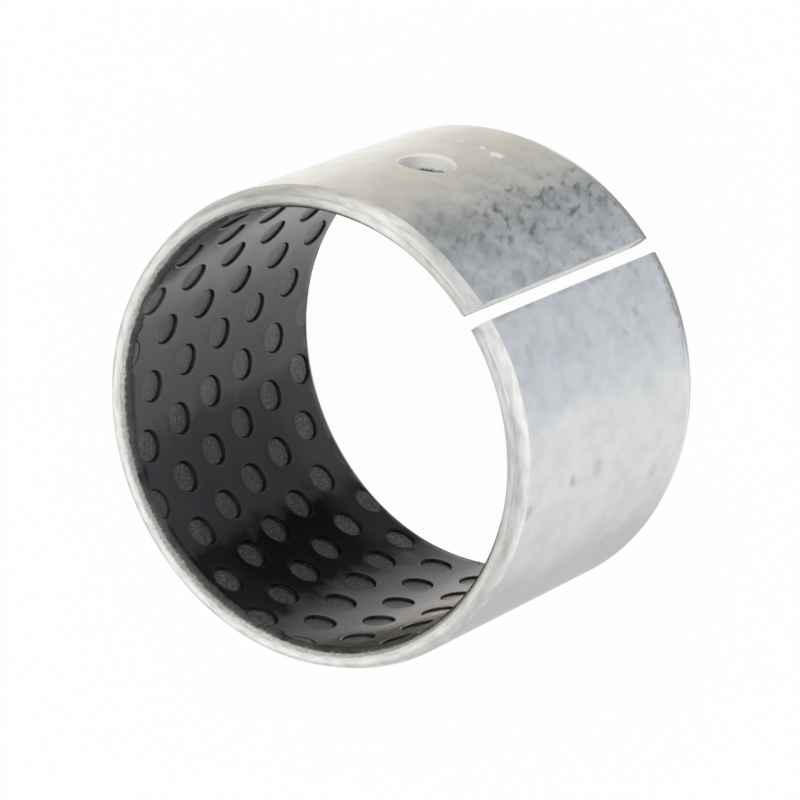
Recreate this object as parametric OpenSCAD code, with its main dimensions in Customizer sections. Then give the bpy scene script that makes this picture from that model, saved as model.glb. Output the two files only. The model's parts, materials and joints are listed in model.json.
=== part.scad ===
// Split plain bearing bush, rolled from a flat strip of steel with a plastic running layer.
// It stands on one end, with its axis on Z and the open joint of the strip facing -Y.

/* [Bush] */
// Bore of the lining, which is the diameter of the shaft it carries
bore_d = 40; // [30:1:60]
// Length along the shaft
bush_l = 30; // [20:1:60]

/* [Strip] */
// Thickness of the steel that backs the strip
steel_t = 1.66; // [1.2:0.01:3]
// Thickness of the plastic bonded to the inside of the steel
lining_t = 0.34; // [0.3:0.01:0.8]

/* [Split] */
// Width of the open joint, measured round the outside
split_w = 1.5; // [0.5:0.1:3]

/* [Ends] */
// Length of the cone at each end of the outside that leads the bush into its housing
lead_in_l = 1.5; // [0.6:0.1:2.2]
// Slope of that cone to the axis, in degrees
lead_in_angle = 20; // [12:1:26]
// Length along the shaft of the chamfer at each end of the bore
bore_chamfer_l = 1; // [0.4:0.1:1.4]
// Slope of that chamfer to the axis, in degrees
bore_chamfer_angle = 30; // [15:1:35]

/* [Oil hole] */
// Diameter of the hole that feeds lubricant through the wall
oil_hole_d = 5; // [3:0.5:8]
// Angle round the bush from the split to the hole, in degrees
oil_hole_angle = 46; // [30:1:90]
// Width of the broken edge where the hole meets the outside
oil_hole_break = 0.3; // [0.1:0.05:0.5]

/* [Lubricant pockets] */
// Diameter of a pocket at its mouth
pocket_d = 3; // [2:0.1:4]
// Diameter that the sloping wall of a pocket loses down to its floor
pocket_draft = 0.2; // [0:0.05:0.6]
// Plastic left under a pocket's floor
pocket_floor_t = 0.06; // [0.04:0.01:0.2]
// Distance between neighbouring pockets, which lie on a grid of equal triangles
pocket_pitch = 5.42; // [4.6:0.02:8]
// Turn of the grid's rows away from the direction round the bush, in degrees
pocket_rows_angle = 16; // [0:1:59]
// Place of the grid along the strip, measured round the bore from the strip's middle
pocket_shift_round = -1.3; // [-4:0.1:4]
// Place of the grid across the strip, measured up from mid-length
pocket_shift_up = -0.45; // [-4:0.05:4]
// Least reach into the bore's straight wall for a pocket at an end to be there at all
pocket_least_reach = 0.3; // [0.2:0.1:1]

/* [Hidden] */
$fn = 96;

bore_r = bore_d / 2;
bond_r = bore_r + lining_t;
outer_r = bond_r + steel_t;

split_direction = -90;
split_angle = 2 * asin(split_w / 2 / outer_r);
strip_half_l = PI * bore_r * (1 - split_angle / 360);

lead_in_depth = lead_in_l * tan(lead_in_angle);
bore_chamfer_depth = bore_chamfer_l * tan(bore_chamfer_angle);

pocket_r = pocket_d / 2;
pocket_depth = lining_t - pocket_floor_t;
pocket_slope = pocket_draft / 2 / pocket_depth;
row_step = pocket_pitch * [cos(pocket_rows_angle), sin(pocket_rows_angle)];
rank_step = pocket_pitch * [cos(pocket_rows_angle + 60), sin(pocket_rows_angle + 60)];
pocket_reach_up = bush_l / 2 - bore_chamfer_l + pocket_r - pocket_least_reach;
pocket_reach_round = strip_half_l + pocket_r - pocket_least_reach;
grid_count = ceil(2 * pocket_reach_round / pocket_pitch);

// Cuts start this far outside the surface that they open
overcut = 0.2;

// Every pocket centre on the flat strip, as [round, up] from the strip's middle
pocket_centres = [
    for (row = [-grid_count : grid_count])
        for (rank = [-grid_count : grid_count])
            let (p = [pocket_shift_round, pocket_shift_up] + row * row_step + rank * rank_step)
                if (abs(p[0]) < pocket_reach_round && abs(p[1]) < pocket_reach_up)
                    p
];

// Direction of a place on the strip, as an angle about the axis
function direction(round) = split_direction + 180 + round / bore_r * 180 / PI;

// Section through the whole wall, with the bore's axis on the left edge of the page
module wall_section() {
    polygon([
        [bore_r, bore_chamfer_l],
        [bore_r + bore_chamfer_depth, 0],
        [outer_r - lead_in_depth, 0],
        [outer_r, lead_in_l],
        [outer_r, bush_l - lead_in_l],
        [outer_r - lead_in_depth, bush_l],
        [bore_r + bore_chamfer_depth, bush_l],
        [bore_r, bush_l - bore_chamfer_l],
    ]);
}

// One layer of the strip, rolled round until its ends almost meet
module rolled_layer(inner_r, layer_t) {
    rotate([0, 0, split_direction + split_angle / 2])
        rotate_extrude(angle = 360 - split_angle)
            intersection() {
                wall_section();
                translate([inner_r, 0]) square([layer_t, bush_l]);
            }
}

// Points its children outward from the axis, at a direction and a height
module facing_out(turn, height) {
    translate([0, 0, height]) rotate([0, 90, turn]) children();
}

module oil_hole_cut() {
    facing_out(split_direction + oil_hole_angle, bush_l / 2) {
        cylinder(d = oil_hole_d, h = outer_r + overcut);
        translate([0, 0, outer_r - oil_hole_break])
            cylinder(d1 = oil_hole_d, d2 = oil_hole_d + 2 * (oil_hole_break + overcut),
                     h = oil_hole_break + overcut);
    }
}

// A shallow pocket with a sloping wall, whose floor bends with the strip
module pocket_cut(centre) {
    wall_h = pocket_depth + 2 * overcut;
    mouth_r = pocket_r + pocket_slope * overcut;
    intersection() {
        facing_out(direction(centre[0]), bush_l / 2 + centre[1])
            translate([0, 0, bore_r - overcut])
                cylinder(r1 = mouth_r, r2 = mouth_r - pocket_slope * wall_h, h = wall_h);
        translate([0, 0, -overcut])
            cylinder(r = bore_r + pocket_depth, h = bush_l + 2 * overcut);
    }
}

// Half of the space round the axis, on one side of the split, where that end of the strip lies
module side_of_split(side) {
    rotate([0, 0, split_direction + 180])
        translate([-2 * outer_r, side > 0 ? 0 : -2 * outer_r, -bush_l])
            cube([4 * outer_r, 2 * outer_r, 3 * bush_l]);
}

// The strip was cut through its pockets, so none reaches over the split into the strip's other end
module pockets() {
    for (centre = pocket_centres)
        if (strip_half_l - abs(centre[0]) < pocket_d)
            intersection() {
                pocket_cut(centre);
                side_of_split(sign(centre[0]));
            }
        else
            pocket_cut(centre);
}

module steel_shell() {
    color("#c4c5c3")
        difference() {
            rolled_layer(bond_r, steel_t);
            oil_hole_cut();
        }
}

module bearing_lining() {
    color("#3a3a3d")
        difference() {
            rolled_layer(bore_r, lining_t);
            oil_hole_cut();
            pockets();
        }
}

steel_shell();
bearing_lining();
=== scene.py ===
# %% [markdown]
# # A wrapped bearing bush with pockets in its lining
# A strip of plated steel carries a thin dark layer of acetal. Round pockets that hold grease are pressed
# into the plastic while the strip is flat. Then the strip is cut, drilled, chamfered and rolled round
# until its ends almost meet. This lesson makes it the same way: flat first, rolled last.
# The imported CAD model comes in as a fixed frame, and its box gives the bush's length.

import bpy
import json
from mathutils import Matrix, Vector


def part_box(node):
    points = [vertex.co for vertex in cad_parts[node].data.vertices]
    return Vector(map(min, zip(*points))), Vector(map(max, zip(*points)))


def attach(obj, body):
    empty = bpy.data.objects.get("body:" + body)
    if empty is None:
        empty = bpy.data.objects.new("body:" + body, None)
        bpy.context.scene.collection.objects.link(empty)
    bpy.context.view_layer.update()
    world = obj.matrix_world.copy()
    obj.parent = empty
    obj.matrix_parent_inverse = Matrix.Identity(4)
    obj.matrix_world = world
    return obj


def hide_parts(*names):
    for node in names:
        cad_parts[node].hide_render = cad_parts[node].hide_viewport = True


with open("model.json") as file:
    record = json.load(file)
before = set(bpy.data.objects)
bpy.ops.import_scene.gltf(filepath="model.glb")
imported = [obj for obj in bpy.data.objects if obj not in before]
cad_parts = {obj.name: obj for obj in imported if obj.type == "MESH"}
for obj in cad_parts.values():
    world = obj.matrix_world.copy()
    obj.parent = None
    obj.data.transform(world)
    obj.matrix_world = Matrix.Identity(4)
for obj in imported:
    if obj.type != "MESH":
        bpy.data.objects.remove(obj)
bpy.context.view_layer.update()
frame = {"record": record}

# %% [markdown]
# ## The strip's sizes
# The sizes are those of the CAD model, in millimetres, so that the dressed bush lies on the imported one.
# A place on the strip has three numbers. The first runs round the bush from the middle of the strip, the
# second runs up from the lower end, and the third is the depth from the running surface into the wall.

# %% Sizes in millimetres
import json
import math

import bmesh
import bpy
import numpy as np
from mathutils import Matrix, Vector, noise
from mathutils.geometry import delaunay_2d_cdt

MM = 0.001
mounts = {mount["name"]: mount for mount in frame["record"]["mounts"]}
bore_r = mounts["shaft_bore"]["dims"]["r_mm"]
outer_r = mounts["housing_seat"]["dims"]["r_mm"]
oil_hole_r = mounts["oil_hole"]["dims"]["r_mm"]
bush_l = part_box("steel_shell")[1].z / MM
wall_t = outer_r - bore_r
lining_t = 0.34
split_w = 1.5
chamfer_l, chamfer_angle = 1.0, 30
chamfer_depth = chamfer_l * math.tan(math.radians(chamfer_angle))
bond_up = chamfer_l * (1 - lining_t / chamfer_depth)
lead_in_l, lead_in_angle = 1.5, 20
lead_in_depth = lead_in_l * math.tan(math.radians(lead_in_angle))
strip_half = bore_r * (math.pi - math.asin(split_w / 2 / outer_r))
oil_hole_angle = 46
oil_hole_round = bore_r * math.radians(oil_hole_angle - 180)
print(f"strip {2 * strip_half:.2f} mm long, {bush_l:.2f} mm wide, {wall_t:.2f} mm thick")

# %% [markdown]
# ## The camera
# The photograph looks into the bore from above the upper end, and the camera is turned on its own axis, so
# that the open joint lies to the upper right. The angles and the distance come from fitting the four
# visible rim circles. A long lens gives the same weak perspective. The small offset moves the camera
# sideways, so that no lens shift is needed.

# %% Camera
camera_turn, camera_rise, camera_roll = (math.radians(a) for a in (-9.1, 53.519, -113.183))
camera_distance = 444.46
focal_pixels, picture_pixels = 4919.5, 800
sensor_mm = 36
offset_right, offset_down = 1.82, -7.43

across = Vector((math.cos(camera_turn), math.sin(camera_turn), 0))
back = Vector((math.sin(camera_turn) * math.cos(camera_rise),
               -math.cos(camera_turn) * math.cos(camera_rise), math.sin(camera_rise)))
upright = back.cross(across)
picture_right = across * math.cos(camera_roll) + upright * math.sin(camera_roll)
picture_up = upright * math.cos(camera_roll) - across * math.sin(camera_roll)

camera = bpy.data.objects.new("Camera", bpy.data.cameras.new("Camera"))
bpy.context.scene.collection.objects.link(camera)
camera.data.sensor_width = sensor_mm
camera.data.lens = sensor_mm * focal_pixels / picture_pixels
camera.data.clip_start = 0.02
pixel_mm = camera_distance / focal_pixels
place = (Vector((0, 0, bush_l / 2)) + back * camera_distance
         - picture_right * offset_right * pixel_mm + picture_up * offset_down * pixel_mm)
camera.matrix_world = Matrix.Translation(place * MM) @ Matrix(
    (picture_right, picture_up, back)).transposed().to_4x4()
bpy.context.scene.camera = camera
print(f"lens {camera.data.lens:.1f} mm, one pixel is {pixel_mm:.3f} mm at the bush")

# %% [markdown]
# ## Cutting flat sheets
# Both layers start as a flat sheet with holes and rings in it. A constrained triangulation fills such a
# sheet and keeps every ring as an edge, so round things stay round. A boolean cut would also work, but it
# gives less control over where the points lie.

# %% Flat sheets
# How close counts as the same, in millimetres, for points, for cuts and for borders
SAME_POINT, SAME_CUT, SAME_BORDER = 1e-7, 1e-6, 1e-4


def ring(centre, radius, count):
    """Points round a circle on the flat strip."""
    turns = [2 * math.pi * i / count for i in range(count)]
    return [(centre[0] + radius * math.cos(t), centre[1] + radius * math.sin(t)) for t in turns]


def oil_hole_ring(radius, depth, count=64):
    """The drilled hole is a straight cylinder, so on the flat strip its ring is a little narrow."""
    r = bore_r + depth
    return [(oil_hole_round + bore_r * math.asin(x / r), bush_l / 2 + z)
            for x, z in ring((0, 0), radius, count)]


def oil_hole_distance(place, depth):
    """Distance of a place on the strip from the axis of the drilled hole, on the hole's own side."""
    far_turn = 1.5
    turn = (place[0] - oil_hole_round) / bore_r
    x = (bore_r + depth) * math.sin(max(-far_turn, min(far_turn, turn)))
    return math.hypot(x, place[1] - bush_l / 2)


def border(half_round, low, high, step):
    """Points round a rectangle on the flat strip."""
    across_count, up_count = math.ceil(2 * half_round / step), math.ceil((high - low) / step)
    rounds = [half_round * (2 * i / across_count - 1) for i in range(across_count)]
    ups = [low + (high - low) * i / up_count for i in range(up_count)]
    return ([(s, low) for s in rounds] + [(half_round, z) for z in ups]
            + [(-s, high) for s in rounds] + [(-half_round, low + high - z) for z in ups])


def filler(half_round, low, high, step):
    """A staggered grid of points that keeps the triangles of a sheet even."""
    places = []
    row_step = step * math.sqrt(3) / 2
    for row in range(1, int((high - low) / row_step)):
        shift = step / 2 * (row % 2)
        count = int((2 * half_round - shift) / step)
        places += [(-half_round + shift + step * i, low + row * row_step) for i in range(1, count)]
    return places


def triangulated(loops, loose, keep):
    """Fills closed loops and loose points with triangles, and keeps those that keep(place) accepts."""
    points, edges = [], []
    for loop in loops:
        first = len(points)
        points += loop
        edges += [(first + i, first + (i + 1) % len(loop)) for i in range(len(loop))]
    points += loose
    points = [Vector(p) for p in points]
    places, _, faces, _, _, _ = delaunay_2d_cdt(points, edges, [], 0, SAME_POINT)
    kept = [f for f in faces if keep(sum((places[i] for i in f), Vector((0, 0))) / len(f))]
    return places, kept


print(f"oil hole {oil_hole_round:.2f} mm round from the strip's middle")

# %% [markdown]
# ## Closing and rolling
# A sheet is one face of a layer. Its open border is carried along a path, step by step, to the other face,
# and that face is filled. So each layer is a closed body with real ends, a real joint and a real hole.
# Rolling then turns the place round the strip into an angle about the axis.

# %% Close and roll
def closed(sheet, path, steps, inner_points, keep):
    """Carries the open border of a sheet along path(place, step) and fills the far face."""
    rims = [edge.link_loops[0] for edge in sheet.edges if edge.is_boundary]
    rows = {}
    for loop in rims:
        if loop.vert not in rows:
            start = loop.vert.co.copy()
            rows[loop.vert] = [loop.vert] + [sheet.verts.new(path(start, k)) for k in range(1, steps + 1)]
    for loop in rims:
        a, b = rows[loop.vert], rows[loop.link_loop_next.vert]
        for k in range(steps):
            sheet.faces.new((b[k], a[k], a[k + 1], b[k + 1]))
    ends = {v: i for i, v in enumerate(rows)}
    last = [rows[v][-1] for v in rows]
    depth = last[0].co.z
    points = [v.co.xy for v in last]
    loose = [Vector(p) for p in inner_points if keep(Vector(p))]
    edges = [(ends[loop.vert], ends[loop.link_loop_next.vert]) for loop in rims]
    places, _, faces, source, _, _ = delaunay_2d_cdt(points + loose, edges, [], 0, SAME_POINT)
    known = {i: last[s[0]] for i, s in enumerate(source) if s and s[0] < len(last)}
    for face in faces:
        if keep(sum((places[i] for i in face), Vector((0, 0))) / len(face)):
            for i in face:
                if i not in known:
                    known[i] = sheet.verts.new((*places[i], depth))
            sheet.faces.new([known[i] for i in face])
    bmesh.ops.recalc_face_normals(sheet, faces=sheet.faces)


def rolled(sheet, name, crease=38):
    """Rolls a closed flat layer round the axis and makes it a piece that rides on the bush."""
    strip = [v.co.copy() for v in sheet.verts]
    open_edges = sum(len(edge.link_faces) != 2 for edge in sheet.edges)
    for v in sheet.verts:
        turn, r = math.pi / 2 + v.co.x / bore_r, bore_r + v.co.z
        v.co = Vector((r * math.cos(turn), r * math.sin(turn), v.co.y)) * MM
    mesh = bpy.data.meshes.new(name)
    sheet.to_mesh(mesh)
    sheet.free()
    mesh.attributes.new("strip", "FLOAT_VECTOR", "POINT").data.foreach_set("vector", np.ravel(strip))
    mesh.shade_smooth()
    mesh.set_sharp_from_angle(angle=math.radians(crease))
    piece = bpy.data.objects.new(name, mesh)
    bpy.context.scene.collection.objects.link(piece)
    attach(piece, "root")
    print(name, "triangles", sum(len(p.vertices) - 2 for p in mesh.polygons), "open edges", open_edges)
    return piece


print(f"layers are rolled until {split_w} mm stays open")

# %% [markdown]
# ## The pockets
# The pockets lie on a grid of equal triangles, turned a little against the strip, so that no line of them
# runs straight along a shaft. A die pressed them in, so the floor is flat and rough, the wall slopes
# slightly, the mouth is rounded, and the plastic that gave way stands as a faint lip round the mouth.
# Each ring of points below is one circle of that profile. The die pressed less at the strip's edges, so
# pockets that lie there are faint.

# %% Pocket grid and profile
pocket_pitch, rows_angle = 5.42, math.radians(16)
ranks_angle = rows_angle + math.pi / 3
grid_round, grid_up, grid_count = -1.3, bush_l / 2 - 0.45, 40
pocket_r, pocket_depth, least_reach = 1.5, 0.28, 0.3
reach_round = strip_half + pocket_r - least_reach
reach_up = bush_l / 2 - chamfer_l + pocket_r - least_reach
pocket_rings = [(0.45, 0.28), (0.9, 0.28), (1.12, 0.28), (1.23, 0.273), (1.31, 0.25), (1.37, 0.21),
                (1.41, 0.155), (1.445, 0.085), (1.48, 0.035), (1.52, 0.006), (1.57, -0.012),
                (1.66, -0.018), (1.78, -0.010), (1.95, 0.0)]

pockets = []
for row in range(-grid_count, grid_count + 1):
    for rank in range(-grid_count, grid_count + 1):
        s = grid_round + pocket_pitch * (row * math.cos(rows_angle) + rank * math.cos(ranks_angle))
        z = grid_up + pocket_pitch * (row * math.sin(rows_angle) + rank * math.sin(ranks_angle))
        if abs(s) < reach_round and abs(z - bush_l / 2) < reach_up:
            pockets.append((s, z))

# Millimetres from a pocket's middle to the strip's edge, and how fully the die pressed there
edge_distance, edge_share = (0.6, 2.4), (0.15, 1.0)


def nearest_pocket(places):
    """Distance from each place to the nearest pocket's middle, and how fully that pocket was pressed."""
    flat = np.array([p[:2] for p in places])
    away, pressed = np.full(len(flat), np.inf), np.ones(len(flat))
    for s, z in pockets:
        here = np.hypot(flat[:, 0] - s, flat[:, 1] - z)
        nearer = here < away
        away[nearer] = here[nearer]
        from_edge = min(z, bush_l - z, strip_half - abs(s))
        pressed[nearer] = np.interp(from_edge, edge_distance, edge_share)
    return away, pressed


print(len(pockets), "pockets")

# %% [markdown]
# ## The lining
# The flat sheet of plastic gets its pockets as depth at every point, with a small unevenness, because
# pressed plastic is never quite flat. Two slanting cuts chamfer its long edges, as the tool cut the real
# strip, right through the pockets that lie there.

# %% Lining
uneven_size, uneven_h = 4, 0.004
grain_size, grain_h, floor_from = 0.5, 0.010, 0.26
sheet_low, sheet_high = 0.2, bush_l - 0.2
border_step, filler_step = 0.6, 0.9
pocket_points, pocket_room, hole_room = 32, 2.2, 0.3


def lining_depths(places):
    """Depth of the running surface below the true bore at each place."""
    away, pressed = nearest_pocket(places)
    radii, depths = zip((0, pocket_depth), *pocket_rings)
    depth = pressed * np.interp(away, radii, depths)
    uneven = [noise.noise(Vector((p[0] / uneven_size, p[1] / uneven_size, 3.1))) for p in places]
    grain = [noise.noise(Vector((p[0] / grain_size, p[1] / grain_size, 7.7))) for p in places]
    return depth + uneven_h * np.array(uneven) + grain_h * np.array(grain) * (depth > floor_from)


def in_lining(place):
    """True on the flat plastic, off the drilled hole."""
    return (abs(place[0]) < strip_half and sheet_low < place[1] < sheet_high
            and oil_hole_distance(place, 0) > oil_hole_r)


loops = [border(strip_half, sheet_low, sheet_high, border_step), oil_hole_ring(oil_hole_r, 0)]
loops += [ring(centre, r, pocket_points) for centre in pockets for r, _ in pocket_rings]
clear = [p for p in filler(strip_half, sheet_low, sheet_high, filler_step)
         if oil_hole_distance(p, 0) > oil_hole_r + hole_room
         and min(math.hypot(p[0] - c[0], p[1] - c[1]) for c in pockets) > pocket_room]
places, faces = triangulated(loops, clear, in_lining)
sheet = bmesh.new()
points = [sheet.verts.new((*p, h)) for p, h in zip(places, lining_depths(places))]
for face in faces:
    sheet.faces.new([points[i] for i in face])
for up, inward in ((chamfer_l, 1), (bush_l - chamfer_l, -1)):
    everything = sheet.verts[:] + sheet.edges[:] + sheet.faces[:]
    bmesh.ops.bisect_plane(sheet, geom=everything, dist=SAME_CUT, plane_co=(0, up, 0), clear_inner=True,
                           plane_no=(0, inward * chamfer_depth, chamfer_l))
bmesh.ops.delete(sheet, geom=[v for v in sheet.verts if not v.link_faces], context="VERTS")
print(len(sheet.faces), "faces on the running side")

# %% [markdown]
# The cut chamfer of the plastic isn't smooth: the tool tore it a little. So its middle rows are uneven.

# %% Lining's ends, joint and back
LINING_STEPS = 4
torn_h, torn_size = 0.03, 0.35
back_step = 1.5
# Border points as near to the hole's axis as this belong to the hole
lining_hole_r = oil_hole_r + 0.2


def lining_path(start, step):
    """From the border of the running surface to the face that is bonded to the steel."""
    s, z, h = start
    share = step / LINING_STEPS
    depth = h + (lining_t - h) * share
    if oil_hole_distance(start, h) < lining_hole_r:
        return (oil_hole_round + (s - oil_hole_round) * (bore_r + h) / (bore_r + depth), z, depth)
    cut_up = chamfer_l * (1 - h / chamfer_depth) + SAME_BORDER
    low_end, high_end = z < cut_up, bush_l - z < cut_up
    spread = (z - chamfer_l) / (bush_l - 2 * chamfer_l)
    far = bond_up + spread * (bush_l - 2 * bond_up)
    torn = 0.0
    if low_end or high_end:
        far = bond_up if low_end else bush_l - bond_up
        if step < LINING_STEPS:
            torn = torn_h * abs(noise.noise(Vector((s / torn_size, step / 2, z))))
    return (s, z + (far - z) * share + (torn if low_end else -torn), depth + torn)


def in_bond(place):
    """True on the face where the plastic is bonded to the steel."""
    return (abs(place[0]) < strip_half and bond_up < place[1] < bush_l - bond_up
            and oil_hole_distance(place, lining_t) > oil_hole_r)


back_points = filler(strip_half, bond_up, bush_l - bond_up, back_step)
closed(sheet, lining_path, LINING_STEPS, back_points, in_bond)
lining = rolled(sheet, "acetal_running_layer")
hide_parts("bearing_lining")

# %% [markdown]
# Floor, wall and lip of a pocket look different, so each point also keeps how much of each it is.

# %% Floor, wall and lip
strip = np.zeros(3 * len(lining.data.vertices))
lining.data.attributes["strip"].data.foreach_get("vector", strip)
away, pressed = nearest_pocket(strip.reshape(-1, 3))
shares = [np.interp(away, (1.22, 1.38), (1, 0)),
          np.interp(away, (1.28, 1.37, 1.45, 1.50), (0, 1, 1, 0)),
          np.interp(away, (1.50, 1.57, 1.68, 1.85), (0, 1, 1, 0))]
shares_pressed = np.stack(shares, axis=1) * pressed[:, None]
kept = lining.data.attributes.new("pressed", "FLOAT_VECTOR", "POINT")
kept.data.foreach_set("vector", shares_pressed.ravel())
print("points on floors", int((shares[0] > 0.5).sum()), "walls", int((shares[1] > 0.5).sum()))

# %% [markdown]
# ## The steel shell
# The outside is a plain sheet with the drilled hole in it. Tumbling and plating rounded every edge, and a
# rounded edge is what catches the light, so the rim's section is drawn with small curves at its corners.

# %% Rim section and hole edge
def curve(before, corner, after, reach, count):
    """Points that round a corner of the section, starting and ending at this reach from it."""
    before, corner, after = (np.array(p) for p in (before, corner, after))
    a = corner + (before - corner) / np.linalg.norm(before - corner) * reach
    b = corner + (after - corner) / np.linalg.norm(after - corner) * reach
    shares = np.linspace(0, 1, count)
    return [tuple(a * (1 - t) ** 2 + corner * 2 * t * (1 - t) + b * t ** 2) for t in shares]


side_top, side_low = (bush_l / 2, wall_t), (lead_in_l, wall_t)
cone_low, face_in = (0.0, wall_t - lead_in_depth), (0.0, chamfer_depth)
bond_low = (bond_up, lining_t)
side_reach, cone_reach, bore_reach = 0.25, 0.16, 0.08
rim = curve(side_top, side_low, cone_low, side_reach, 5)
rim += [(lead_in_l * share, wall_t - lead_in_depth * (1 - share)) for share in (0.65, 0.4)]
rim += curve(side_low, cone_low, face_in, cone_reach, 6)
rim += [(0.0, 1.15), (0.0, 0.88)]
rim += curve(cone_low, face_in, bond_low, bore_reach, 5)
rim += [(bond_up / 2, (chamfer_depth + lining_t) / 2), bond_low]
hole_rings = [(3.6, 0), (3.1, 0), (2.93, 0.004), (2.85, 0.02), (2.78, 0.06), (2.70, 0.12),
              (2.60, 0.21), (2.54, 0.28), (oil_hole_r, 0.36)]
print(len(rim), "points on the rim's section, from the outside to the bond")

# %% [markdown]
# Tumbling left the outside a little uneven, by a few thousandths of a millimetre, which softens what it
# mirrors. The edges of the joint are rounded too.

# %% Shell
joint_round = 0.12
dull_size, dull_h = 6, 0.006
shell_step, hole_clear = 0.5, 3.9


def rounding(depth):
    """How far the rounded edge of the joint lies behind the joint's face, at a depth below the outside."""
    rise = min(joint_round, max(0.0, joint_round - depth))
    return joint_round - math.sqrt(joint_round ** 2 - rise ** 2)


def in_outside(place):
    """True on the outside of the steel, off the drilled hole."""
    return oil_hole_distance(place, wall_t) > oil_hole_r


SHELL_STEPS = len(rim) - 1
half_outside = strip_half - rounding(0) * bore_r / outer_r
side_start = rim[0][0]
loops = [border(half_outside, side_start, bush_l - side_start, shell_step)]
loops += [oil_hole_ring(r, wall_t - d) for r, d in hole_rings]
clear = [p for p in filler(half_outside, side_start, bush_l - side_start, filler_step)
         if oil_hole_distance(p, wall_t) > hole_clear]
places, faces = triangulated(loops, clear, in_outside)
hole_radii, hole_depths = zip(*reversed(hole_rings))
sheet = bmesh.new()
points = []
for p in places:
    depth = np.interp(oil_hole_distance(p, wall_t), hole_radii, hole_depths)
    dull = dull_h * noise.noise(Vector((p[0] / dull_size, p[1] / dull_size, 1.3)))
    points.append(sheet.verts.new((*p, wall_t - depth - dull_h + dull)))
for face in faces:
    sheet.faces.new([points[i] for i in face])
print(len(sheet.faces), "faces on the outside")

# %% [markdown]
# The rim isn't a perfect ring either. Its section wanders by a few hundredths of a millimetre round the
# bush, most at the edge between the end face and the lead-in cone.

# %% Shell's rims, joint and back
slack_h, wander_size, ripple_size = 0.016, 5, 1.2
up_share, cone_share, bore_share, cone_from = 0.6, 0.9, 0.4, 1.2
shell_hole_r = oil_hole_r + 0.3


def shell_path(start, step):
    """From the border of the outside to the face that is bonded to the plastic."""
    s, z, h = start
    share = step / SHELL_STEPS
    if oil_hole_distance(start, wall_t) < shell_hole_r:
        depth = h + (lining_t - h) * share
        return (oil_hole_round + (s - oil_hole_round) * (bore_r + h) / (bore_r + depth), z, depth)
    up, depth = rim[step]
    if 0 < step < SHELL_STEPS:
        wander = noise.noise(Vector((s / wander_size, z, 0.2)))
        ripple = noise.noise(Vector((s / ripple_size, z, step / 3)))
        slack = slack_h * (wander + 0.5 * ripple)
        up += abs(slack) * up_share
        depth -= slack * (cone_share if depth > cone_from else bore_share)
    spread = (z - side_start) / (bush_l - 2 * side_start)
    up_here = up + spread * (bush_l - 2 * up)
    if min(spread, 1 - spread) < SAME_CUT:
        up_here = up if spread < 0.5 else bush_l - up
    if abs(s) > half_outside - SAME_BORDER:
        s = math.copysign(strip_half - rounding(wall_t - depth) * bore_r / outer_r, s)
    return (s, up_here, depth)


closed(sheet, shell_path, SHELL_STEPS, back_points, in_bond)
shell = rolled(sheet, "plated_steel_back")
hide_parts("steel_shell")

# %% [markdown]
# ## Colours and nodes
# Colours are written as they look on a screen, and one function turns them into the linear values that a
# shader needs. One more function adds a node, sets it and links it, so that a material reads like a list.
# Colours that change round the bush are given at places on the strip, in millimetres.

# %% Colour and node helpers
def linear(colour):
    """Turns an sRGB hex colour into linear red, green, blue and alpha."""
    parts = [int(colour[i:i + 2], 16) / 255 for i in (1, 3, 5)]
    return tuple(c / 12.92 if c <= 0.04045 else ((c + 0.055) / 1.055) ** 2.4 for c in parts) + (1.0,)


def round_strip(*stops):
    """Turns (millimetres round the strip, colour) into ramp stops from 0 to 1."""
    return [((s + strip_half) / (2 * strip_half), colour) for s, colour in stops]


def add(tree, kind, inputs=(), out=0, stops=(), **settings):
    """Adds a node, sets its properties and ramp, sets or links its inputs, and gives one output."""
    node = tree.nodes.new("ShaderNode" + kind)
    for name, value in settings.items():
        setattr(node, name, value)
    for _ in stops[2:]:
        node.color_ramp.elements.new(1.0)
    for count, (at, colour) in enumerate(stops):
        node.color_ramp.elements[count].position = at
        node.color_ramp.elements[count].color = linear(colour)
    for socket, value in (inputs.items() if isinstance(inputs, dict) else enumerate(inputs)):
        if isinstance(value, bpy.types.NodeSocket):
            tree.links.new(value, node.inputs[socket])
        else:
            node.inputs[socket].default_value = value
    return node.outputs[out]


PLUS, LESS, TIMES, MOST, LEAST, SIZE = (
    {"operation": o} for o in ("ADD", "SUBTRACT", "MULTIPLY", "MAXIMUM", "MINIMUM", "ABSOLUTE"))
SOFT = {"interpolation_type": "SMOOTHSTEP"}
OVER = {"data_type": "RGBA", "out": 2}
DARKEN = {"data_type": "RGBA", "blend_type": "MULTIPLY", "out": 2}
print("white is", linear("#ffffff")[:3], "and mid grey", round(linear("#808080")[0], 3))

# %% [markdown]
# Both materials draw their patterns on the flat strip, in millimetres, because that is where the marks
# formed. So they bend with the metal and don't stretch. The rolled pieces carry each point's place on the
# strip as an attribute, and this reads it.

# %% Where on the strip a point lies
def strip_places(tree):
    """Gives the place as a vector, then the way round, the way up, the distance from an end, the depth."""
    vector = add(tree, "Attribute", out="Vector", attribute_name="strip")
    split = add(tree, "SeparateXYZ", [vector]).node
    from_top = add(tree, "Math", (bush_l, split.outputs["Y"]), **LESS)
    end = add(tree, "Math", (split.outputs["Y"], from_top), **LEAST)
    return vector, split.outputs["X"], split.outputs["Y"], end, split.outputs["Z"]


print("patterns are drawn in millimetres on the strip")
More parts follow.
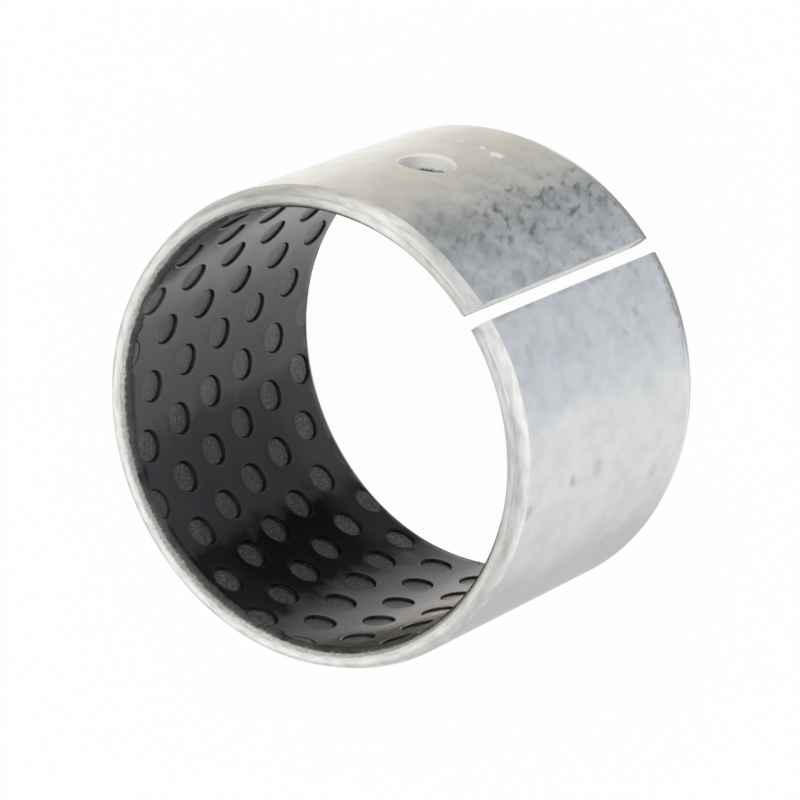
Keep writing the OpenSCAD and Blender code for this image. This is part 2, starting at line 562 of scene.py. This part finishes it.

# %% [markdown]
# ## Plated steel
# The back is cold-rolled steel strip with a thin tin plating, tumbled dull. To the eye that is a soft,
# cloudy silver. The plating took unevenly near the cut ends of the strip: there it is blue-grey with dark
# dabs. Further round, a warm beige that turns white near -37 mm round the strip is a painted warm
# highlight, then plain silver, and a darker grey near 33 mm on the other side is painted shade.

# %% Plated steel: tone round the strip
steel = bpy.data.materials.new("tin-plated steel strip, rolled and tumbled")
steel.use_nodes = True
t = steel.node_tree
steel_surface = t.nodes["Principled BSDF"]
vector, way_round, way_up, end, depth = strip_places(t)
drift = add(t, "TexNoise", {"Vector": vector, "Scale": 1 / 5, "Detail": 3})
drift = add(t, "MapRange", (drift, 0.25, 0.75, -1.5, 1.5))
drifted = add(t, "Math", (way_round, drift), **PLUS)
along = add(t, "MapRange", (drifted, -strip_half, strip_half))
# Painted warm highlight: beige from -50 mm to white at -37 mm. Painted shade: the darker grey at 33 mm.
base = add(t, "ValToRGB", [along], stops=round_strip(
    (-62, "#bfc4c8"), (-60, "#b0b7bb"), (-57.5, "#a5aaac"), (-55, "#aaacab"), (-52.5, "#bbbab4"),
    (-50, "#c4c1b6"), (-47, "#d2cec0"), (-44, "#dfdccf"), (-40.5, "#f6f4ea"), (-37, "#ffffff"),
    (-33.5, "#f2f2ef"), (-26, "#cecdca"), (28, "#c2c2c0"), (33, "#b3b3b2"), (37, "#bbbcbb"),
    (41, "#d5d6d3"), (47, "#e5e5e3"), (51.5, "#e3e4e4"), (54, "#d6dadd"), (57, "#ced2d8"),
    (62, "#c6cad0")))
print(steel.name, "runs from blue-grey at the joint through beige to silver")

# %% [markdown]
# The clouds run mostly across the strip, which is the way it was drawn through the plating bath, and the
# dark dabs lean a little. Their sizes are those in the photograph: clouds of 1.9 by 2.8 mm, dabs of 0.75
# by 1.9 mm. A Mapping node of the texture kind takes such sizes as they are.

# %% Plated steel: clouds
strokes = add(t, "Mapping", {"Vector": vector, "Scale": (1.9, 2.8, 1)}, vector_type="TEXTURE")
clouds = add(t, "TexNoise", {"Vector": strokes, "Scale": 1.0, "Detail": 3, "Roughness": 0.55})
left_end = add(t, "MapRange", (drifted, -47.9, -56.6), **SOFT)
right_end = add(t, "MapRange", (drifted, 52.8, 56.6, 0, 0.22), **SOFT)
near_joint = add(t, "Math", (left_end, right_end), **MOST)
cloud_tone = add(t, "ValToRGB", [clouds], stops=[(0.36, "#b2b6ba"), (0.5, "#e4e6e9"), (0.62, "#ffffff")])
cloud_share = add(t, "MapRange", (near_joint, 0, 1, 0.2, 0.5))
base = add(t, "Mix", {0: cloud_share, 6: base, 7: cloud_tone}, **DARKEN)
print("clouds are strongest near the joint")

# %% Plated steel: dabs
dabs = add(t, "Mapping", {"Vector": vector, "Rotation": (0, 0, 0.4), "Scale": (0.75, 1.9, 1)},
           vector_type="TEXTURE")
dabs = add(t, "TexNoise", {"Vector": dabs, "Scale": 1.0, "Detail": 2.5, "Roughness": 0.5,
                           "Distortion": 0.35})
dabs = add(t, "MapRange", (dabs, 0.45, 0.78), **SOFT)
dabs = add(t, "Math", (dabs, add(t, "MapRange", (way_up, 17, 23, 1.0, 0.55), **SOFT)), **TIMES)
dark_band = add(t, "Math", (add(t, "MapRange", (drifted, -60.4, -57.7), **SOFT),
                            add(t, "MapRange", (drifted, -52.0, -54.7), **SOFT)), **TIMES)
dab_share = add(t, "Math", (dark_band, add(t, "Math", (near_joint, 0.4), **TIMES)), **MOST)
dabs = add(t, "Math", (dabs, dab_share), **TIMES)
base = add(t, "Mix", {0: dabs, 6: base, 7: linear("#4e5251")}, **OVER)
print("dabs lie in a dark band beside the joint")

# %% [markdown]
# A few marks stay because the photograph shows them: three bright spots below the oil hole, which are
# painted glints, soft dark clouds by the front end, which are painted shade, and small grey and bluish
# stains on the other side of the joint. Each is a place, a radius, a colour and a strength.

# %% Plated steel: painted glints, painted shade and stains
# The three #f0f0f0 spots are painted glints, the three dark clouds near -54.5 mm are painted shade, the
# rest are stains.
stains_glints_and_shade = [((-49.4, 7.8), 0.6, "#f0f0f0", 0.75), ((-47.8, 7.4), 0.35, "#f0f0f0", 0.7),
         ((-45.5, 7.3), 0.3, "#f0f0f0", 0.6), ((47.0, 21.1), 0.55, "#a4a4a0", 0.55),
         ((47.3, 16.9), 0.8, "#acaca7", 0.4), ((46.0, 28.0), 0.6, "#b0b0ab", 0.5),
         ((44.2, 6.2), 0.8, "#b4b4b0", 0.3), ((38.3, 10.0), 0.8, "#a8a8a5", 0.25),
         ((-54.8, 20.8), 1.7, "#8b8f8e", 0.35), ((-54.6, 24.0), 1.9, "#898d8b", 0.5),
         ((-54.2, 27.2), 1.5, "#8e918f", 0.4), ((58.6, 25.6), 0.6, "#a0a5aa", 0.35),
         ((57.7, 16.5), 0.6, "#a0a5aa", 0.3), ((57.0, 10.5), 0.5, "#9a9fa4", 0.4),
         ((58.3, 7.7), 0.55, "#959a9e", 0.45), ((61.1, 5.2), 0.5, "#959a9e", 0.45)]
fray = add(t, "TexNoise", {"Vector": vector, "Scale": 1 / 0.5, "Detail": 4})
fray = add(t, "MapRange", (fray, 0.3, 0.7, -0.3, 0.3))
for (mark_round, mark_up), radius, colour, share in stains_glints_and_shade:
    away = add(t, "VectorMath", (vector, (mark_round, mark_up, wall_t)), out="Value", operation="DISTANCE")
    away = add(t, "Math", (away, fray), **PLUS)
    mark = add(t, "MapRange", (away, radius * 1.4, radius * 0.4, 0, share), **SOFT)
    base = add(t, "Mix", {0: mark, 6: base, 7: linear(colour)}, **OVER)
print(len(stains_glints_and_shade), "scuffs and stains")

# %% [markdown]
# The lead-in cone was tooled after plating, so it is brighter, with soft streaks of 1.8 by 0.6 mm that run
# round the rim. Its tone changes from the end face outwards, and round the bush.

# %% Plated steel: the lead-in cone
streak = add(t, "Mapping", {"Vector": vector, "Scale": (1.8, 0.6, 0.6)}, vector_type="TEXTURE")
streak = add(t, "TexNoise", {"Vector": streak, "Scale": 1.0, "Detail": 2})
streak_tone = add(t, "ValToRGB", [streak], stops=[(0.33, "#e6e6e5"), (0.46, "#f5f5f4"), (0.58, "#ffffff")])
cone_in = add(t, "ValToRGB", [along], stops=round_strip(
    (-62, "#d4d4d3"), (-58, "#d2d2d1"), (-55, "#e3e3e1"), (-52, "#f6f6f4"), (-49, "#ecebe7"),
    (-46, "#dbdad4"), (-43, "#c8c6be"), (-40, "#b9b7af"), (-30, "#c8c8c4"), (34, "#c8c8c6"),
    (40, "#d2d2d0"), (49, "#d1d1d0"), (52, "#dcdcdb"), (55, "#ebebea"), (58, "#ececec"),
    (62, "#e0e1e2")))
cone_out = add(t, "ValToRGB", [along], stops=round_strip(
    (-62, "#dadad9"), (-58, "#d5d5d3"), (-55, "#c9c9c7"), (-52, "#e8e8e5"), (-49, "#cfcdc7"),
    (-46, "#c2c0b8"), (-40, "#c8c6be"), (34, "#c4c4c3"), (40, "#e2e2e1"), (44, "#f0f0ef"),
    (50, "#f4f4f3"), (54, "#fcfcfb"), (58, "#fafafa"), (62, "#eeeff0")))
wave = add(t, "TexNoise", {"Vector": vector, "Scale": 1 / 3, "Detail": 3})
wave = add(t, "MapRange", (wave, 0.3, 0.7, -0.08, 0.08))
wavy_end = add(t, "Math", (end, wave), **PLUS)
cone = add(t, "Mix", {0: add(t, "MapRange", (end, 0.3, 1.3), **SOFT), 6: cone_in, 7: cone_out}, **OVER)
cone = add(t, "Mix", {0: 1.0, 6: cone, 7: streak_tone}, **DARKEN)
on_rim = add(t, "MapRange", (wavy_end, lead_in_l + 0.06, lead_in_l - 0.12), **SOFT)
base = add(t, "Mix", {0: on_rim, 6: base, 7: cone}, **OVER)
print("the cone is streaked up to", lead_in_l, "mm from each end")

# %% [markdown]
# The end face is the brightest part of the rim. Its border to the cone wanders, and a patchy grey line lies
# where it breaks into the chamfer of the bore.

# %% Plated steel: the end face
face_edge = wall_t - lead_in_depth
wavy_depth = add(t, "Math", (depth, wave), **PLUS)
face = add(t, "ValToRGB", [add(t, "MapRange", (wavy_depth, chamfer_depth, face_edge))],
           stops=[(0.0, "#eeeeec"), (0.3, "#f8f8f6"), (0.6, "#ffffff"), (0.8, "#ececea"),
                  (0.95, "#e0e0de")])
face_round = add(t, "ValToRGB", [along], stops=round_strip(
    (-62, "#dadad8"), (-56, "#dcdcda"), (-52, "#f4f4f2"), (-46, "#dcdad6"), (-40, "#c6c4be"),
    (-30, "#e6e6e4"), (-14, "#f2f2f0"), (16, "#f0f0ee"), (26, "#eaeae8"), (34, "#e2e2e0"),
    (40, "#d6d6d4"), (52, "#d2d2d1"), (56, "#dededd"), (62, "#dadad9")))
face = add(t, "Mix", {0: 1.0, 6: face, 7: face_round}, **DARKEN)
face = add(t, "Mix", {0: 1.0, 6: face, 7: streak_tone}, **DARKEN)
on_face = add(t, "MapRange", (wavy_depth, face_edge + 0.07, face_edge - 0.09), **SOFT)
on_face = add(t, "Math", (on_face, on_rim), **TIMES)
base = add(t, "Mix", {0: on_face, 6: base, 7: face}, **OVER)
from_edge = add(t, "Math", (depth, chamfer_depth + 0.03), **LESS)
from_edge = add(t, "Math", [from_edge], **SIZE)
edge_line = add(t, "Math", (add(t, "MapRange", (from_edge, 0.12, 0.03), **SOFT),
                            add(t, "MapRange", (streak, 0.40, 0.58, 0, 0.6), **SOFT)), **TIMES)
edge_line = add(t, "Math", (edge_line, on_rim), **TIMES)
print(f"the end face is {face_edge - chamfer_depth:.2f} mm wide")

# %% [markdown]
# The chamfer of the bore was cut last, through steel and plastic together, so it is rough and grey, and
# crumbs of about 0.3 mm are smeared over it.

# %% Plated steel: cut chamfer
crumbs = add(t, "TexNoise", {"Vector": vector, "Scale": 1 / 0.3, "Detail": 5, "Roughness": 0.65})
crumb_depth = add(t, "Math", (depth, add(t, "MapRange", (crumbs, 0.3, 0.7, -0.07, 0.07))), **PLUS)
cut = add(t, "ValToRGB", [along], stops=round_strip(
    (-30, "#d2d2cf"), (-24, "#e2e2df"), (-14, "#f0f0ed"), (-8, "#d2d2cf"), (4, "#c8c8c5"),
    (9, "#dededb"), (13, "#fafaf7"), (18, "#f0f0ed"), (26, "#dadad7")))
crumb_tone = add(t, "ValToRGB", [crumbs], stops=[(0.32, "#dcdcdb"), (0.62, "#ffffff")])
cut = add(t, "Mix", {0: 1.0, 6: cut, 7: crumb_tone}, **DARKEN)
on_cut = add(t, "MapRange", (crumb_depth, chamfer_depth + 0.05, chamfer_depth - 0.05), **SOFT)
on_cut = add(t, "Math", (on_cut, on_rim), **TIMES)
base = add(t, "Mix", {0: on_cut, 6: base, 7: cut}, **OVER)
base = add(t, "Mix", {0: edge_line, 6: base, 7: linear("#a2a29f")}, **OVER)
print(f"the cut goes {chamfer_depth - lining_t:.2f} mm into the steel")

# %% [markdown]
# The wall of the oil hole is pale, and the drill smeared some plastic up it. The sheared ends at the joint
# are bright. Beside the joint the rear cone is darkened as painted shade, and the outside is darker in
# ragged patches along the joint's edge.

# %% Plated steel: hole, joint and painted shade
hole_middle = (oil_hole_round, bush_l / 2, 0)
hole_away = add(t, "VectorMath", (vector, hole_middle), operation="SUBTRACT")
hole_away = add(t, "VectorMath", (hole_away, (outer_r / bore_r, 1, 0)), operation="MULTIPLY")
hole_away = add(t, "VectorMath", [hole_away], out="Value", operation="LENGTH")
in_hole = add(t, "MapRange", (hole_away, oil_hole_r + 0.4, oil_hole_r + 0.02), **SOFT)
base = add(t, "Mix", {0: in_hole, 6: base, 7: linear("#eeeeec")}, **OVER)
smear_depth = add(t, "Math", (depth, add(t, "MapRange", (crumbs, 0.35, 0.65, -0.12, 0.12))), **PLUS)
smear = add(t, "MapRange", (smear_depth, lining_t + 0.35, lining_t), **SOFT)
smear = add(t, "Math", (smear, in_hole), **TIMES)
base = add(t, "Mix", {0: smear, 6: base, 7: linear("#84827d")}, **OVER)
from_middle = add(t, "Math", [way_round], **SIZE)
joint_near = add(t, "MapRange", (from_middle, strip_half - 12, strip_half - 5), **SOFT)
on_joint = add(t, "MapRange", (from_middle, strip_half - 0.06, strip_half - 0.005), **SOFT)
base = add(t, "Mix", {0: on_joint, 6: base, 7: linear("#e6e6e4")}, **OVER)
# Painted shade darkens the rear cone beside the joint, and ragged patches darken the joint's edge.
rear_shade_up = add(t, "Math", (way_up, fray), **PLUS)
shade_and_dark_by_joint = add(t, "MapRange", (rear_shade_up, lead_in_l + 0.6, lead_in_l - 0.5), **SOFT)
shade_and_dark_by_joint = add(t, "Math", (shade_and_dark_by_joint, add(t, "Math", (joint_near, 0.85), **TIMES)), **TIMES)
joint_edge_dark = add(t, "Math", (add(t, "MapRange", (way_round, strip_half - 0.9, strip_half - 0.1), **SOFT),
                         add(t, "MapRange", (clouds, 0.5, 0.62, 0, 0.35), **SOFT)), **TIMES)
shade_and_dark_by_joint = add(t, "Math", (shade_and_dark_by_joint, joint_edge_dark), **MOST)
base = add(t, "Mix", {0: shade_and_dark_by_joint, 6: base, 7: linear("#585a5a")}, **OVER)
t.links.new(base, steel_surface.inputs["Base Color"])
print("hole and joint have their own finish")

# %% [markdown]
# Tumbled tin is dull, with a roughness near 0.37. The cut chamfer and the hole's wall are duller still. The
# real grain is too fine to show, so it is drawn as coarse as 0.35 mm. It and the crumbs give some relief.

# %% Plated steel: shine
cloud_rough = add(t, "MapRange", (clouds, 0.3, 0.7, 0.32, 0.42))
matt = add(t, "Math", (add(t, "Math", (on_cut, 0.3), **TIMES),
                       add(t, "Math", (in_hole, 0.5), **TIMES)), **MOST)
rough = add(t, "Math", (cloud_rough, matt), **PLUS)
t.links.new(rough, steel_surface.inputs["Roughness"])
steel_surface.inputs["Metallic"].default_value = 1.0
grain = add(t, "TexNoise", {"Vector": vector, "Scale": 1 / 0.35, "Detail": 3})
relief = add(t, "Math", (grain, add(t, "Math", (crumbs, on_cut), **TIMES)), **PLUS)
bump = add(t, "Bump", {"Height": relief, "Strength": 0.2, "Distance": 0.02 * MM})
t.links.new(bump, steel_surface.inputs["Normal"])
shell.data.materials.append(steel)
print(steel.name, len(t.nodes), "nodes")

# %% [markdown]
# ## Acetal
# The running layer is a dark acetal, pressed smooth against a polished roll. To the eye it is a glossy
# grey-black that mirrors what is around it, most at a flat angle. Its tone and shine round the strip are
# painted reflection: a streak across the strip that is nearly black and takes little shine is a painted
# dark reflection, and a warm zone beside it is a painted warm highlight.

# %% Acetal: tone and shine round the strip
plastic = bpy.data.materials.new("dark acetal, rolled smooth and pressed")
plastic.use_nodes = True
t = plastic.node_tree
plastic_surface = t.nodes["Principled BSDF"]
vector, way_round, way_up, end, depth = strip_places(t)
wobble = add(t, "TexNoise", {"Vector": vector, "Scale": 1 / 3, "Detail": 5, "Roughness": 0.6})
drift = add(t, "MapRange", (wobble, 0.25, 0.75, -1.3, 1.3))
slant = add(t, "MapRange", (way_up, 0, bush_l, -0.2, -0.8))
drifted = add(t, "Math", (way_round, drift), **PLUS)
drifted = add(t, "Math", (drifted, slant), **PLUS)
along = add(t, "MapRange", (drifted, -strip_half, strip_half))
# Painted reflection round the strip: paler to the left, nearly black from 3 to 11 mm, a warm highlight from
# 18 to 30 mm.
base = add(t, "ValToRGB", [along], stops=round_strip(
    (-38, "#303030"), (-30, "#484846"), (-26, "#424241"), (-20, "#333333"), (-10.7, "#2a2a2b"),
    (-9.1, "#1b1a29"), (0.8, "#161523"), (3, "#050505"), (10.8, "#050505"), (12.4, "#101010"),
    (14.4, "#1d1d1b"), (18, "#38342c"), (21, "#645a49"), (25, "#7a6d58"), (28, "#6e6453"),
    (36, "#303030")))
# The same painted reflections, as the level of shine.
shine = add(t, "ValToRGB", [along], stops=round_strip(
    (-38, "#5e5e5e"), (-30, "#9a9a9a"), (-26, "#878787"), (-20, "#616161"), (-10.7, "#575757"),
    (-9.1, "#3f3f3f"), (0.8, "#303030"), (3, "#0a0a0a"), (10.8, "#090909"), (12.4, "#282828"),
    (14.2, "#3d3d3d"), (17.6, "#565656"), (19.6, "#8e8e8e"), (23.4, "#ffffff"), (26.6, "#f4f4f4"),
    (36, "#5e5e5e")))
top_shine = 5.8
shine = add(t, "Math", (shine, top_shine), **TIMES)
# A warm tint on the shine, for the painted warm highlight.
painted_warm_gleam_tint = add(t, "ValToRGB", [along], stops=round_strip(
    (14, "#ffffff"), (22, "#fff9f4"), (30, "#fff9f4"), (36, "#ffffff")))
t.links.new(painted_warm_gleam_tint, plastic_surface.inputs["Specular Tint"])
print(plastic.name, "has its black streak from 3 to 11 mm round the strip")

# %% [markdown]
# A pale haze lies by both ends, strongest by the rear one. Two ragged corners by the front end are darkened
# and take less shine, as painted shade.

# %% Acetal: haze and painted shade in the corners
haze = add(t, "Math", (add(t, "MapRange", (way_up, 9, 4, 0, 0.65), **SOFT),
                       add(t, "MapRange", (way_up, 21, 27, 0, 0.15), **SOFT)), **MOST)
haze = add(t, "Math", (haze, add(t, "MapRange", (way_round, 14, 10), **SOFT)), **TIMES)
base = add(t, "Mix", {0: haze, 6: base, 7: linear("#525252")}, **OVER)
ragged_up = add(t, "Math", (way_up, add(t, "MapRange", (wobble, 0.3, 0.7, -1.5, 1.5))), **PLUS)
right_corner = add(t, "Math", (way_round, 1.2, ragged_up), operation="MULTIPLY_ADD")
right_corner = add(t, "MapRange", (right_corner, 48.2, 50.0), **SOFT)
left_corner = add(t, "Math", (way_round, -0.6, ragged_up), operation="MULTIPLY_ADD")
left_corner = add(t, "MapRange", (left_corner, 40.8, 42.6), **SOFT)
side = add(t, "Math", [way_round], **SIZE)
shaded = add(t, "Math", (add(t, "Math", (right_corner, left_corner), **MOST),
                         add(t, "MapRange", (side, 38, 30), **SOFT)), **TIMES)
# Painted shade: a darker tone and less shine in the two front corners.
base = add(t, "Mix", {0: add(t, "Math", (shaded, 0.7), **TIMES), 6: base, 7: linear("#383732")}, **OVER)
shine = add(t, "Mix", {0: shaded, 2: shine, 3: 0.6})
print("haze reaches 9 mm up from the rear end")

# %% [markdown]
# A pocket's floor took the grain of the die, specks of about 0.3 mm, and is paler by the ends; its pale
# tone is partly painted highlight. Its wall is painted dark as painted shade, and its lip, a few hundredths
# high, gets a paler line here and there as a painted highlight.

# %% Acetal: pockets
specks = add(t, "TexNoise", {"Vector": vector, "Scale": 1 / 0.32, "Detail": 3, "Roughness": 0.65})
# The grain is real, and its light tone is partly painted highlight.
grainy = add(t, "ValToRGB", [specks], stops=[(0.36, "#2c2c2c"), (0.52, "#40403f"), (0.66, "#666664")])
pale_grain = add(t, "ValToRGB", [specks], stops=[(0.36, "#464646"), (0.52, "#666665"), (0.66, "#989896")])
by_ends = add(t, "Math", (add(t, "MapRange", (way_up, 12, 3)),
                          add(t, "MapRange", (way_up, 24, 28.5, 0, 0.45))), **MOST)
grainy = add(t, "Mix", {0: by_ends, 6: grainy, 7: pale_grain}, **OVER)
part = add(t, "SeparateXYZ", [add(t, "Attribute", out="Vector", attribute_name="pressed")]).node.outputs
on_floor, on_wall = part["X"], part["Y"]
base = add(t, "Mix", {0: on_floor, 6: base, 7: grainy}, **OVER)
# Painted shade on the pocket's wall.
base = add(t, "Mix", {0: on_wall, 6: base, 7: linear("#1c1c1c")}, **OVER)
# Painted highlight: a paler line on the lip.
on_lip = add(t, "Math", (part["Z"], add(t, "MapRange", (wobble, 0.42, 0.62, 0, 0.6), **SOFT)), **TIMES)
base = add(t, "Mix", {0: on_lip, 6: base, 7: linear("#343434")}, **OVER)
print(len(pockets), "pockets with grainy floors")

# %% [markdown]
# The cut chamfer of the plastic is torn in tags of about 0.3 by 0.7 mm and greyer, palest where the steel
# begins. The sheared ends at the joint are pale too.

# %% Acetal: cut edge
torn = add(t, "Mapping", {"Vector": vector, "Scale": (0.3, 0.7, 0.7)}, vector_type="TEXTURE")
torn = add(t, "TexNoise", {"Vector": torn, "Scale": 1.0, "Detail": 3, "Roughness": 0.55})
cut_up = add(t, "MapRange", (depth, 0, chamfer_depth, chamfer_l, 0))
cut_end = add(t, "Math", (end, add(t, "MapRange", (torn, 0.3, 0.7, -0.14, 0.14))), **PLUS)
past_cut = add(t, "Math", (add(t, "Math", (end, cut_up), **LESS),
                           add(t, "MapRange", (wobble, 0.3, 0.7, -0.3, 0.3))), **PLUS)
on_cut = add(t, "MapRange", (past_cut, 0.35, -0.1), **SOFT)
cut = add(t, "ValToRGB", [add(t, "MapRange", (cut_end, bond_up - 0.1, chamfer_l))],
          stops=[(0.0, "#dededa"), (0.09, "#c6c6c2"), (0.22, "#8e8e8b"), (0.36, "#666664"),
                 (0.6, "#565655"), (1.0, "#4e4e4d")])
base = add(t, "Mix", {0: on_cut, 6: base, 7: cut}, **OVER)
on_joint = add(t, "MapRange", (side, strip_half - 0.05, strip_half - 0.005), **SOFT)
base = add(t, "Mix", {0: on_joint, 6: base, 7: linear("#b4b4b2")}, **OVER)
t.links.new(base, plastic_surface.inputs["Base Color"])
print(f"the plastic's chamfer is {chamfer_l - bond_up:.2f} mm long")

# %% [markdown]
# Pressed acetal is smooth, with a roughness near 0.23 and an IOR of 1.48. Floors, walls and the cut edge
# are dull, so they get a higher roughness and their own share of shine: more on the floors, partly as
# painted highlight, and little on the walls, as painted shade.

# %% Acetal: shine and grain
dull = add(t, "Math", (on_floor, on_cut), **MOST)
rough = add(t, "MapRange", (wobble, 0.3, 0.7, 0.2, 0.27))
rough = add(t, "Mix", {0: add(t, "Math", (dull, on_wall), **MOST), 2: rough, 3: 0.5})
t.links.new(rough, plastic_surface.inputs["Roughness"])
# Partly painted highlight: the floors take more shine.
shine = add(t, "Math", (shine, add(t, "MapRange", (on_floor, 0, 1, 1.0, 2.1))), **TIMES)
shine = add(t, "Math", (shine, add(t, "Math", (on_floor, 0.2), **TIMES)), **MOST)
# Painted shade: the walls take little shine.
shine = add(t, "Mix", {0: on_wall, 2: shine, 3: 0.12})
shine = add(t, "Mix", {0: on_cut, 2: shine, 3: 0.3})
t.links.new(shine, plastic_surface.inputs["Specular IOR Level"])
plastic_surface.inputs["IOR"].default_value = 1.48
relief = add(t, "Math", (specks, add(t, "Math", (dull, 0.02), **MOST)), **TIMES)
bump = add(t, "Bump", {"Height": relief, "Strength": 0.6, "Distance": 0.06 * MM})
t.links.new(bump, plastic_surface.inputs["Normal"])
lining.data.materials.append(plastic)
print(plastic.name, len(t.nodes), "nodes")

# %% [markdown]
# ## Floor and light
# The bush stands on a pale floor in a white studio. The floor shows as white to the camera and in gloss,
# and it keeps a soft shadow.

# %% Floor
floor_half = 3
corners = [(x * floor_half, y * floor_half, 0) for x, y in ((-1, -1), (1, -1), (1, 1), (-1, 1))]
floor_mesh = bpy.data.meshes.new("floor")
floor_mesh.from_pydata(corners, [], [(0, 1, 2, 3)])
floor = bpy.data.objects.new("floor", floor_mesh)
bpy.context.scene.collection.objects.link(floor)
paper = bpy.data.materials.new("white paper")
paper.use_nodes = True
floor_mesh.materials.append(paper)
world = bpy.data.worlds.new("white studio")
bpy.context.scene.world = world
world.use_nodes = True
print("floor", 2 * floor_half, "m wide")

# %% [markdown]
# Rays from the camera, and those that gloss sends out, see white. All other rays see plain paper and a
# weaker sky, so the white background doesn't light the bush.

# %% White where it is seen
floor_white, sky_light, sky_white = 0.97, 0.7, 1.0
seen = {}
for t in (paper.node_tree, world.node_tree):
    ray = add(t, "LightPath").node.outputs
    mirrored = add(t, "Math", (ray["Is Glossy Ray"], ray["Is Transmission Ray"]), **MOST)
    seen[t] = add(t, "Math", (ray["Is Camera Ray"], mirrored), **MOST)

t = paper.node_tree
lit = add(t, "BsdfDiffuse", {"Color": linear("#f4f4f4")})
white = add(t, "Emission", {"Color": linear("#ffffff"), "Strength": 1.0})
share = add(t, "Math", (seen[t], floor_white), **TIMES)
mixed = add(t, "MixShader", (share, lit, white))
t.links.new(mixed, t.nodes["Material Output"].inputs["Surface"])
t.nodes.remove(t.nodes["Principled BSDF"])
t = world.node_tree
strength = add(t, "MapRange", (seen[t], 0, 1, sky_light, sky_white))
t.links.new(strength, t.nodes["Background"].inputs["Strength"])
t.nodes["Background"].inputs["Color"].default_value = linear("#ffffff")
print("floor and world show white")

# %% [markdown]
# Two large softboxes add a third to the white of the studio. So they model the form and cast a soft shadow,
# but leave no glaring spot on the metal.

# %% Light
scene = bpy.context.scene
scene.view_settings.view_transform = "Standard"


def softbox(name, towards, distance, size, power, colour):
    """A square lamp at a distance in millimetres, in a direction from the bush, facing it."""
    lamp = bpy.data.objects.new(name, bpy.data.lights.new(name, "AREA"))
    scene.collection.objects.link(lamp)
    lamp.data.size, lamp.data.energy, lamp.data.color = size * MM, power, linear(colour)[:3]
    towards = Vector(towards).normalized()
    lamp.location = (Vector((0, 0, bush_l / 2)) + towards * distance) * MM
    lamp.rotation_euler = towards.to_track_quat("Z", "Y").to_euler()


softbox("key", back + picture_up * 0.5, 700, 900, 0.9, "#fff8f0")
softbox("fill", back - picture_up * 0.9 + Vector((0, 0, 0.4)), 700, 800, 0.6, "#f4f7ff")
